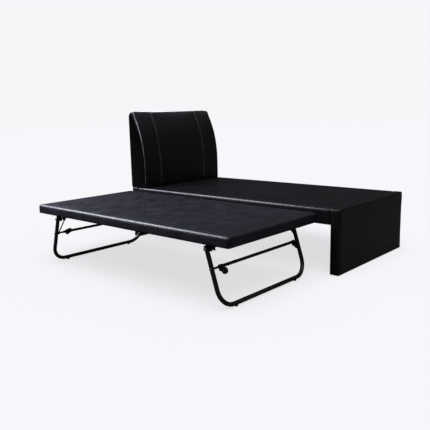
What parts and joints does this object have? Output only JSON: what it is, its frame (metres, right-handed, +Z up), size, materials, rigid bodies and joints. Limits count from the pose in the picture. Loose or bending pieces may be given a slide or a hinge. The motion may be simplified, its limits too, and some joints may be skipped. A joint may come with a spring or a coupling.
{
  "type": "folding cot",
  "caption": "Single bed bench with a padded headboard and a pull-out cot that stands on two folding U-shaped leg frames with swivel casters.",
  "frame": {"origin": "on the floor, under the middle of the whole set as it stands with the cot drawn out and raised", "axes": "+X along the beds from the headboard to the foot end, +Y from the drawn-out cot to the rear of the bench, +Z up"},
  "size_m": [1.935, 1.839, 1.036],
  "materials": {
    "leather_look": "black grained leather-look cover, soft sheen",
    "cot_leather_look": "black leather-look cover, slightly cloudy, satin",
    "timber": "raw sawn softwood and board",
    "lining": "black non-woven lining",
    "nylon": "black moulded nylon",
    "wheel_rubber": "black hard rubber tread",
    "black_enamel": "gloss black enamel on steel",
    "black_steel": "satin black painted pressed steel",
    "zinc_steel": "bright zinc plate"
  },
  "bodies": {
    "bench": {"bench_board": "timber", "bench_end_rails": "timber", "bench_front_rail": "timber", "bench_lining": "lining", "bench_pad": "leather_look", "bench_rear_rail": "timber", "bench_slats": "timber", "bracket_screws": "zinc_steel", "corner_brackets": "zinc_steel", "foot_panel_core": "timber", "foot_panel_cover": "leather_look", "head_panel_core": "timber", "head_panel_cover": "leather_look", "headboard_cushion": "leather_look", "headboard_panel": "timber", "headboard_posts": "zinc_steel", "panel_bolts": "zinc_steel", "panel_glides": "nylon"},
    "cot_deck": {"cot_board": "timber", "cot_end_rails": "timber", "cot_front_rail": "timber", "cot_lining": "lining", "cot_pad": "cot_leather_look", "cot_rear_rail": "timber", "cot_slats": "timber", "pivot_brackets": "black_enamel", "pivot_nuts": "zinc_steel", "head_pivot_rod": "zinc_steel", "foot_pivot_rod": "zinc_steel", "stay_tracks": "black_enamel", "bracket_deck_screws": "zinc_steel"},
    "head_legs": {"head_leg_tube": "black_enamel", "head_crossbar": "black_enamel", "head_crossbar_bolts": "zinc_steel", "head_floor_glides": "nylon", "head_caster_plates": "black_enamel"},
    "foot_legs": {"foot_leg_tube": "black_enamel", "foot_crossbar": "black_enamel", "foot_crossbar_bolts": "zinc_steel", "foot_floor_glides": "nylon", "foot_caster_plates": "black_enamel", "corner_gusset": "black_enamel"},
    "front_stay": {"front_stay": "black_enamel"},
    "rear_stay": {"rear_stay": "black_enamel"},
    "front_slider": {"front_stay_slider": "nylon"},
    "rear_slider": {"rear_stay_slider": "nylon"},
    "head_front_caster": {"head_front_caster_fork": "black_steel", "head_front_caster_axle": "zinc_steel"},
    "head_front_roller": {"head_front_wheel": "wheel_rubber"},
    "head_rear_caster": {"head_rear_caster_fork": "black_steel", "head_rear_caster_axle": "zinc_steel"},
    "head_rear_roller": {"head_rear_wheel": "wheel_rubber"},
    "foot_front_caster": {"foot_front_caster_fork": "black_steel", "foot_front_caster_axle": "zinc_steel"},
    "foot_front_roller": {"foot_front_wheel": "wheel_rubber"},
    "foot_rear_caster": {"foot_rear_caster_fork": "black_steel", "foot_rear_caster_axle": "zinc_steel"},
    "foot_rear_roller": {"foot_rear_wheel": "wheel_rubber"}
  },
  "joints": [
    {"name": "cot_lower", "type": "slide", "parent": "bench", "child": "cot_deck", "axis": [0, 0, -1], "range_m": [0, 0.271]},
    {"name": "head_legs_fold", "type": "hinge", "parent": "cot_deck", "child": "head_legs", "pos_m": [-0.679, -0.5035, 0.323], "axis": [0, -1, 0], "range_deg": [0, 107.5]},
    {"name": "foot_legs_fold", "type": "hinge", "parent": "cot_deck", "child": "foot_legs", "pos_m": [0.7, -0.5035, 0.323], "axis": [0, 1, 0], "range_deg": [0, 107.5]},
    {"name": "front_stay_swing", "type": "hinge", "parent": "head_legs", "child": "front_stay", "pos_m": [-0.71179, -0.8825, 0.219], "axis": [0, 1, 0], "range_deg": [0, 151.16]},
    {"name": "front_stay_slide", "type": "slide", "parent": "cot_deck", "child": "front_slider", "axis": [1, 0, 0], "range_m": [0, 0.19996]},
    {"name": "rear_stay_swing", "type": "hinge", "parent": "head_legs", "child": "rear_stay", "pos_m": [-0.71179, -0.1245, 0.219], "axis": [0, 1, 0], "range_deg": [0, 151.16]},
    {"name": "rear_stay_slide", "type": "slide", "parent": "cot_deck", "child": "rear_slider", "axis": [1, 0, 0], "range_m": [0, 0.19996]},
    {"name": "head_front_swivel", "type": "hinge", "parent": "head_legs", "child": "head_front_caster", "pos_m": [-0.71179, -0.7905, 0.219], "axis": [-0.9537, 0, 0.3007], "continuous": true},
    {"name": "head_front_roll", "type": "hinge", "parent": "head_front_caster", "child": "head_front_roller", "pos_m": [-0.75048, -0.7905, 0.20603], "axis": [0, 1, 0], "continuous": true},
    {"name": "head_rear_swivel", "type": "hinge", "parent": "head_legs", "child": "head_rear_caster", "pos_m": [-0.71179, -0.2165, 0.219], "axis": [-0.9537, 0, 0.3007], "continuous": true},
    {"name": "head_rear_roll", "type": "hinge", "parent": "head_rear_caster", "child": "head_rear_roller", "pos_m": [-0.75048, -0.2165, 0.20603], "axis": [0, 1, 0], "continuous": true},
    {"name": "foot_front_swivel", "type": "hinge", "parent": "foot_legs", "child": "foot_front_caster", "pos_m": [0.73279, -0.8425, 0.219], "axis": [0.9537, 0, 0.3007], "continuous": true},
    {"name": "foot_front_roll", "type": "hinge", "parent": "foot_front_caster", "child": "foot_front_roller", "pos_m": [0.77148, -0.8425, 0.20603], "axis": [0, 1, 0], "continuous": true},
    {"name": "foot_rear_swivel", "type": "hinge", "parent": "foot_legs", "child": "foot_rear_caster", "pos_m": [0.73279, -0.1645, 0.219], "axis": [0.9537, 0, 0.3007], "continuous": true},
    {"name": "foot_rear_roll", "type": "hinge", "parent": "foot_rear_caster", "child": "foot_rear_roller", "pos_m": [0.77148, -0.1645, 0.20603], "axis": [0, 1, 0], "continuous": true}
  ],
  "couplings": [
    {"joint": "head_legs_fold", "follows": "cot_lower", "rad_per_m": 6.9233},
    {"joint": "foot_legs_fold", "follows": "cot_lower", "rad_per_m": 6.9233},
    {"joint": "front_stay_swing", "follows": "cot_lower", "rad_per_m": 9.7349},
    {"joint": "front_stay_slide", "follows": "cot_lower", "ratio": 0.73769},
    {"joint": "rear_stay_swing", "follows": "cot_lower", "rad_per_m": 9.7349},
    {"joint": "rear_stay_slide", "follows": "cot_lower", "ratio": 0.73769}
  ]
}
